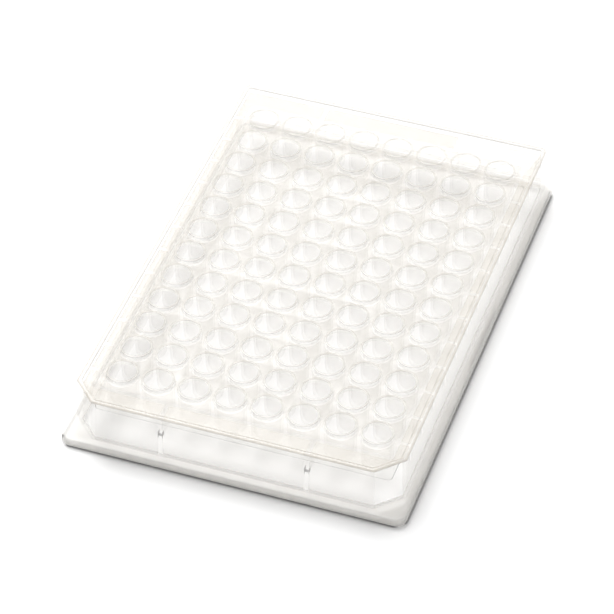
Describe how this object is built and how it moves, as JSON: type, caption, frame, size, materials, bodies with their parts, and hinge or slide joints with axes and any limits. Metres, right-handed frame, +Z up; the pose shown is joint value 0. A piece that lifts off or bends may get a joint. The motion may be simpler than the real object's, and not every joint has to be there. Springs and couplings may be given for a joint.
{
  "type": "well plate",
  "caption": "Laboratory well plate in translucent plastic: round wells in one deck, with a base flange of the standard footprint and chamfered corners at one end.",
  "frame": {"origin": "middle of the base, on the surface that the plate stands on", "axes": "+X along the twelve columns of wells, away from the chamfered end; +Y along the eight rows; +Z up, out of the wells"},
  "size_m": [0.1278, 0.0854, 0.0143],
  "materials": {
    "clear_plastic": "natural translucent polypropylene, glossy with a slight haze"
  },
  "bodies": {
    "root": {"well_plate": "clear_plastic"}
  },
  "joints": []
}
